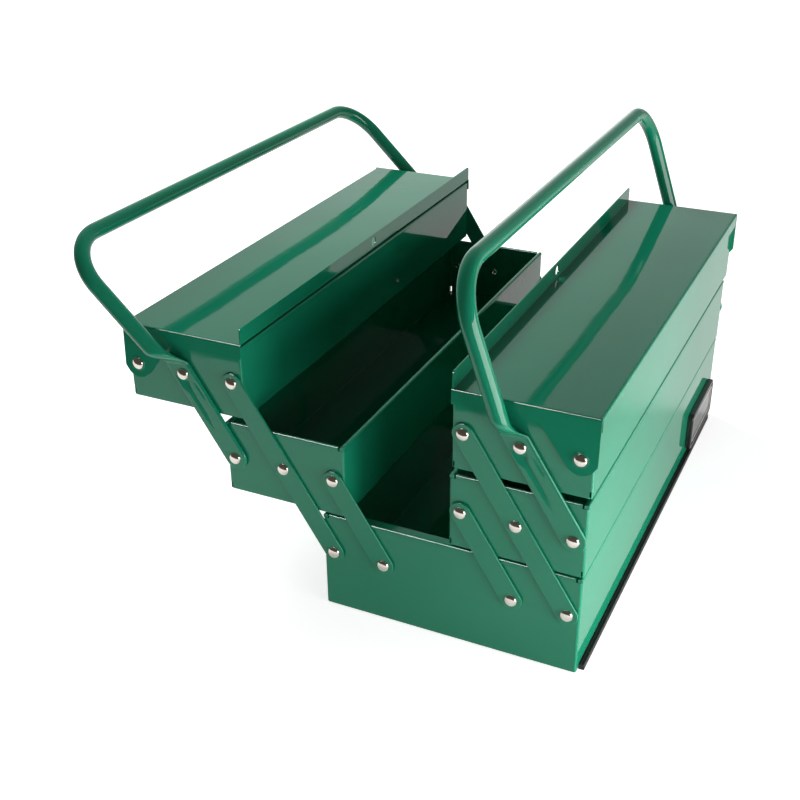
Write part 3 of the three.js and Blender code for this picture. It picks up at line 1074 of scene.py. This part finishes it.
def lights():
    """A key light on the right, and three lights that are not mirrored.

    They lie along the foot of the right side, low in front, and high at the back left.
    """
    softbox("key", (1.15, -0.32, 0.26), aim=(0.1, -0.05, 0.1), size=(1.5, 0.56), power=13.8)
    skim = softbox("skim", (0.45, -0.22, 0.04), aim=(0.1, -0.22, 0.02), size=(0.3, 0.06), power=2.8)
    front = softbox("front", (-0.05, -0.75, 0.15), aim=(-0.05, -0.3, 0.02), size=(0.8, 0.1), power=1.1)
    fill = softbox("fill", (-0.8, 0.35, 1.05), aim=(-0.1, 0, 0.15), size=(0.7, 0.7), power=16)
    for light in (skim, front, fill):
        light.visible_glossy = False


def strip_light():
    """A light that is only mirrored, and only in the bends and edges of the sheet pieces."""
    made = softbox("strip_light", (-0.65, -1.08, 1.24), aim=(-0.1, -0.2, 0.2), size=(0.95, 0.6), power=42)
    made.visible_diffuse = False
    sheets = bpy.data.collections.new("sheets")
    for piece in bpy.data.objects:
        if piece.name.endswith(("_body", "_sheet", "_strip")):
            sheets.objects.link(piece)
    made.light_linking.receiver_collection = sheets


def studio_world():
    """A white sweep low behind the object, and a dim room overhead and on the camera's side."""
    world = bpy.data.worlds.new("studio")
    bpy.context.scene.world = world
    world.use_nodes = True
    tree = world.node_tree
    background = tree.nodes["Background"]
    direction = tree.nodes.new("ShaderNodeTexCoord").outputs["Generated"]
    towards = tree.nodes.new("ShaderNodeVectorMath")
    towards.operation = "DOT_PRODUCT"
    towards.inputs[1].default_value = (-0.45, 0.89, 0.0)
    tree.links.new(direction, towards.inputs[0])
    ramp = tree.nodes.new("ShaderNodeValToRGB")
    set_stops(ramp.color_ramp, [
        (0.0, (0.035, 0.028, 0.024)),
        (0.30, (0.04, 0.036, 0.033)),
        (0.80, (0.18, 0.18, 0.19)),
        (0.93, (0.36, 0.36, 0.36)),
        (1.0, (0.8, 0.8, 0.8)),
    ])
    tree.links.new(towards.outputs["Value"], ramp.inputs["Fac"])
    # the camera sees plain white
    strength = 2.0
    rays = tree.nodes.new("ShaderNodeLightPath")
    seen = tree.nodes.new("ShaderNodeMixRGB")
    seen.inputs["Color2"].default_value = (1 / strength, 1 / strength, 1 / strength, 1)
    tree.links.new(rays.outputs["Is Camera Ray"], seen.inputs["Fac"])
    tree.links.new(ramp.outputs["Color"], seen.inputs["Color1"])
    tree.links.new(seen.outputs["Color"], background.inputs["Color"])
    background.inputs["Strength"].default_value = strength


# ---------------------------------------------------------------- the object and its studio

PAINT = green_paint()
NICKEL = nickel_plate()
BLACK = black_plastic()
GLOSS_BLACK = black_gloss_plastic()

ON_LINK = LAYER_GAP + LINK_THICKNESS
ON_FLAT_END = LAYER_GAP + FLAT_THICKNESS
ON_EAR = LAYER_GAP + SHEET + splay(0)

# For each rivet, how far out from the end wall its head sits, and what it is fixed to
RIVETS = {
    "lid_pivot": (ON_EAR, "upper_tray"),
    "handle_top": (ON_FLAT_END, "upper_tray"),
    "long_link_top": (ON_LINK, "upper_tray"),
    "handle_bottom": (ON_FLAT_END, "mid_tray"),
    "long_link_middle": (ON_LINK, "mid_tray"),
    "short_link_top": (ON_LINK, "mid_tray"),
    "long_link_bottom": (ON_LINK, "base"),
    "short_link_bottom": (ON_LINK, "base"),
}

make_camera()
tub("base_box", "base", BASE_END_HEM, slotted=False)
for side in SIDES:
    tub(f"mid_tray_{side}", f"mid_tray_{side}", END_HEM, slotted=True)
    tub(f"upper_tray_{side}", f"upper_tray_{side}", END_HEM, slotted=True)
    lid(side)
    handle(side)
    for end, way in ENDS.items():
        link("long", 3, end, side)
        link("short", 2, end, side)
        for name, (stack, holder) in RIVETS.items():
            body = holder if holder == "base" else f"{holder}_{side}"
            rivet(f"rivet_{name}_{end}_{side}", way, body, stack)
trim_strip()
badge_plate()
badge_frame()

table()
studio_world()
lights()
strip_light()
bpy.context.scene.view_settings.view_transform = "Standard"
